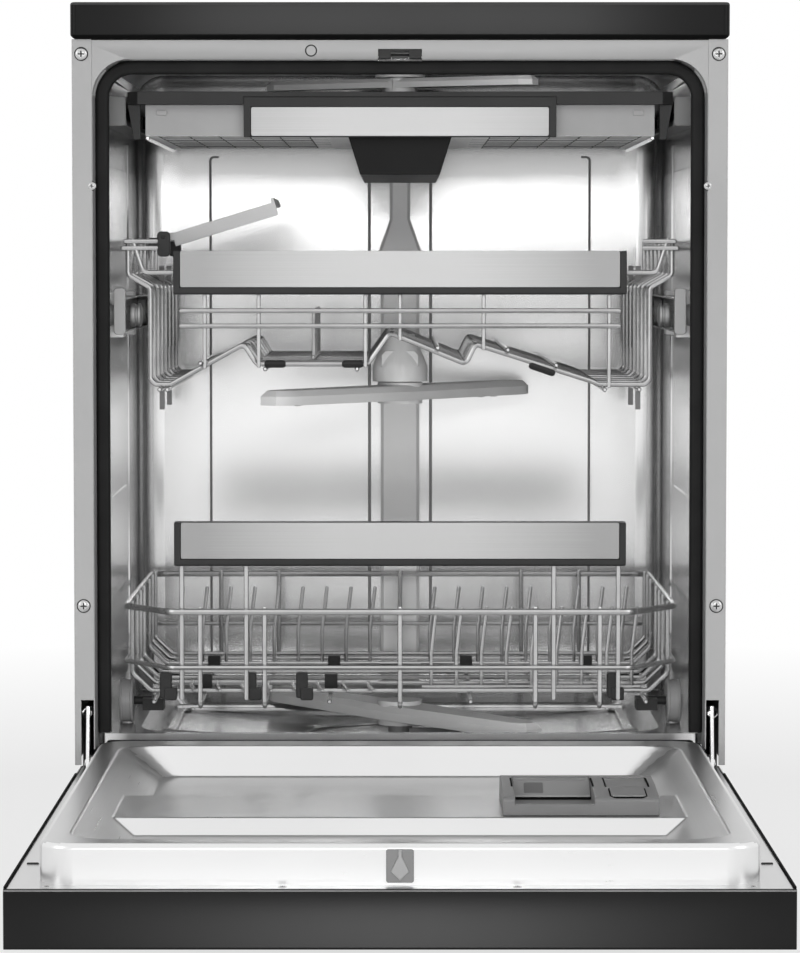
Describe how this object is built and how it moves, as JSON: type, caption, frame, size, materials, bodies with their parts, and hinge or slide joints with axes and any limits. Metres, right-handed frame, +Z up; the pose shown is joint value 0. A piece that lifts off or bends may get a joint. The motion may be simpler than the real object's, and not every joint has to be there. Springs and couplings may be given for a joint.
{
  "type": "freestanding dishwasher",
  "caption": "Freestanding dishwasher with its door open: steel tub, sliding wire racks, cutlery tray, turning spray arms, dispenser, and a black worktop and door.",
  "frame": {"origin": "on the floor at the centre of the four levelling feet", "axes": "+X to the right seen from the front, +Y to the back, +Z up; the door opens towards -Y"},
  "size_m": [0.6, 1.203, 0.85],
  "materials": {
    "lid_black": "smooth black, soft sheen",
    "door_black": "black painted sheet, satin",
    "panel_grey": "light grey painted sheet, satin",
    "tub_steel": "bright stainless sheet, finely brushed",
    "fascia_steel": "pale satin stainless, brushed along the width",
    "seal_black": "matt black rubber",
    "base_black": "dark moulded plastic, fine grain",
    "trim_black": "black moulded plastic, satin",
    "plastic_grey": "mid grey moulded plastic, fine grain",
    "plastic_pale": "light grey moulded plastic, fine grain",
    "wire_grey": "silver grey coated wire, satin",
    "chrome_bright": "bright plated steel"
  },
  "bodies": {
    "cabinet": {"worktop": "lid_black", "side_panel_left": "panel_grey", "side_panel_right": "panel_grey", "back_panel": "panel_grey", "tub_wrapper": "tub_steel", "tub_back": "tub_steel", "tub_floor": "tub_steel", "door_seals": "seal_black", "base_tray": "base_black", "levelling_feet": "base_black", "plinth": "base_black", "sump": "plastic_grey", "fine_filter": "tub_steel", "wash_pumps": "base_black", "water_inlet": "plastic_grey", "feed_pipe": "plastic_pale", "latch_housing": "trim_black", "hinge_brackets": "chrome_bright", "balance_springs": "chrome_bright", "rail_brackets": "plastic_pale", "tray_rails": "trim_black"},
    "door": {"door_outer_panel": "door_black", "control_panel": "lid_black", "control_board": "base_black", "door_liner": "tub_steel", "latch_striker": "plastic_pale", "dispenser_body": "plastic_grey", "hinge_arms": "chrome_bright"},
    "upper_rail_pair": {"upper_rails": "chrome_bright", "rail_caps": "plastic_pale"},
    "upper_rack": {"upper_basket": "wire_grey", "upper_handle_bezel": "trim_black", "upper_handle_fascia": "fascia_steel", "height_adjusters": "plastic_grey", "cup_bracket": "trim_black", "spray_feed": "plastic_pale"},
    "lower_rack": {"lower_basket": "wire_grey", "lower_handle_bezel": "trim_black", "lower_handle_fascia": "fascia_steel", "rack_clips": "trim_black"},
    "cutlery_tray": {"tray_frame": "trim_black", "tray_inserts": "plastic_grey", "tray_fascia": "fascia_steel"},
    "latch_hook": {"latch_hook": "plastic_grey"},
    "coarse_filter": {"coarse_filter": "plastic_grey"},
    "lower_spray_arm": {"lower_spray_arm": "plastic_pale"},
    "middle_spray_arm": {"middle_spray_arm": "plastic_pale"},
    "ceiling_spray_arm": {"ceiling_spray_arm": "plastic_pale"},
    "detergent_lid": {"detergent_lid": "plastic_grey"},
    "rinse_aid_flap": {"rinse_aid_flap": "plastic_grey"},
    "power_button": {"power_button": "fascia_steel"},
    "program_button": {"program_button": "fascia_steel"},
    "start_button": {"start_button": "fascia_steel"},
    "cup_shelf": {"cup_shelf": "plastic_pale"},
    "upper_tine_row": {"upper_tine_row": "wire_grey"},
    "left_front_tines": {"left_front_tines": "wire_grey"},
    "left_rear_tines": {"left_rear_tines": "wire_grey"},
    "right_rear_tines": {"right_rear_tines": "wire_grey"},
    "front_rollers": {"front_rollers": "plastic_pale"},
    "rear_rollers": {"rear_rollers": "plastic_pale"}
  },
  "joints": [
    {"name": "door_hinge", "type": "hinge", "parent": "cabinet", "child": "door", "pos_m": [0, -0.244, 0.154], "axis": [1, 0, 0], "range_deg": [-90, 0], "deforming": ["balance_springs"]},
    {"name": "lower_rack_slide", "type": "slide", "parent": "cabinet", "child": "lower_rack", "axis": [0, -1, 0], "range_m": [0, 0.5]},
    {"name": "front_roller_spin", "type": "hinge", "parent": "lower_rack", "child": "front_rollers", "pos_m": [0, -0.128, 0.1978], "axis": [1, 0, 0], "continuous": true},
    {"name": "rear_roller_spin", "type": "hinge", "parent": "lower_rack", "child": "rear_rollers", "pos_m": [0, 0.15, 0.1978], "axis": [1, 0, 0], "continuous": true},
    {"name": "upper_rack_slide", "type": "slide", "parent": "cabinet", "child": "upper_rack", "axis": [0, -1, 0], "range_m": [0, 0.48]},
    {"name": "upper_rail_slide", "type": "slide", "parent": "cabinet", "child": "upper_rail_pair", "axis": [0, -1, 0], "range_m": [0, 0.24]},
    {"name": "cutlery_tray_slide", "type": "slide", "parent": "cabinet", "child": "cutlery_tray", "axis": [0, -1, 0], "range_m": [0, 0.34]},
    {"name": "lower_spray_arm_spin", "type": "hinge", "parent": "cabinet", "child": "lower_spray_arm", "pos_m": [0, 0.015, 0.17], "axis": [0, 0, 1], "continuous": true},
    {"name": "middle_spray_arm_spin", "type": "hinge", "parent": "upper_rack", "child": "middle_spray_arm", "pos_m": [0, 0.015, 0.486], "axis": [0, 0, 1], "continuous": true},
    {"name": "ceiling_spray_arm_spin", "type": "hinge", "parent": "cabinet", "child": "ceiling_spray_arm", "pos_m": [0, 0.015, 0.788], "axis": [0, 0, 1], "continuous": true},
    {"name": "coarse_filter_twist", "type": "hinge", "parent": "cabinet", "child": "coarse_filter", "pos_m": [0.034, -0.011, 0.13], "axis": [0, 0, 1], "range_deg": [0, 60]},
    {"name": "latch_hook_lift", "type": "hinge", "parent": "cabinet", "child": "latch_hook", "pos_m": [0, -0.24, 0.802], "axis": [-1, 0, 0], "range_deg": [0, 15], "stiffness_Nm_per_rad": 0.05},
    {"name": "detergent_lid_slide", "type": "slide", "parent": "door", "child": "detergent_lid", "axis": [0, -1, 0], "range_m": [0, 0.022]},
    {"name": "rinse_aid_flap_hinge", "type": "hinge", "parent": "door", "child": "rinse_aid_flap", "pos_m": [0.188, -0.552, 0.1782], "axis": [1, 0, 0], "range_deg": [-80, 0]},
    {"name": "power_button_press", "type": "slide", "parent": "door", "child": "power_button", "axis": [0, 0, 1], "range_m": [0, 0.002], "stiffness_N_per_m": 400},
    {"name": "program_button_press", "type": "slide", "parent": "door", "child": "program_button", "axis": [0, 0, 1], "range_m": [0, 0.002], "stiffness_N_per_m": 400},
    {"name": "start_button_press", "type": "slide", "parent": "door", "child": "start_button", "axis": [0, 0, 1], "range_m": [0, 0.002], "stiffness_N_per_m": 400},
    {"name": "cup_shelf_fold", "type": "hinge", "parent": "upper_rack", "child": "cup_shelf", "pos_m": [-0.224, 0, 0.638], "axis": [0, -1, 0], "range_deg": [0, 30]},
    {"name": "upper_tine_fold", "type": "hinge", "parent": "upper_rack", "child": "upper_tine_row", "pos_m": [-0.082, 0, 0.52405], "axis": [0, -1, 0], "range_deg": [0, 80]},
    {"name": "left_front_tine_fold", "type": "hinge", "parent": "lower_rack", "child": "left_front_tines", "pos_m": [-0.126, -0.1, 0.21255], "axis": [-1, 0, 0], "range_deg": [0, 90]},
    {"name": "left_rear_tine_fold", "type": "hinge", "parent": "lower_rack", "child": "left_rear_tines", "pos_m": [-0.126, 0.07, 0.21255], "axis": [1, 0, 0], "range_deg": [0, 90]},
    {"name": "right_rear_tine_fold", "type": "hinge", "parent": "lower_rack", "child": "right_rear_tines", "pos_m": [0.126, 0.07, 0.21255], "axis": [1, 0, 0], "range_deg": [0, 90]}
  ],
  "couplings": [
    {"joint": "upper_rail_slide", "follows": "upper_rack_slide", "ratio": 0.5},
    {"joint": "front_roller_spin", "follows": "lower_rack_slide", "rad_per_m": 47.619},
    {"joint": "rear_roller_spin", "follows": "lower_rack_slide", "rad_per_m": 47.619}
  ]
}
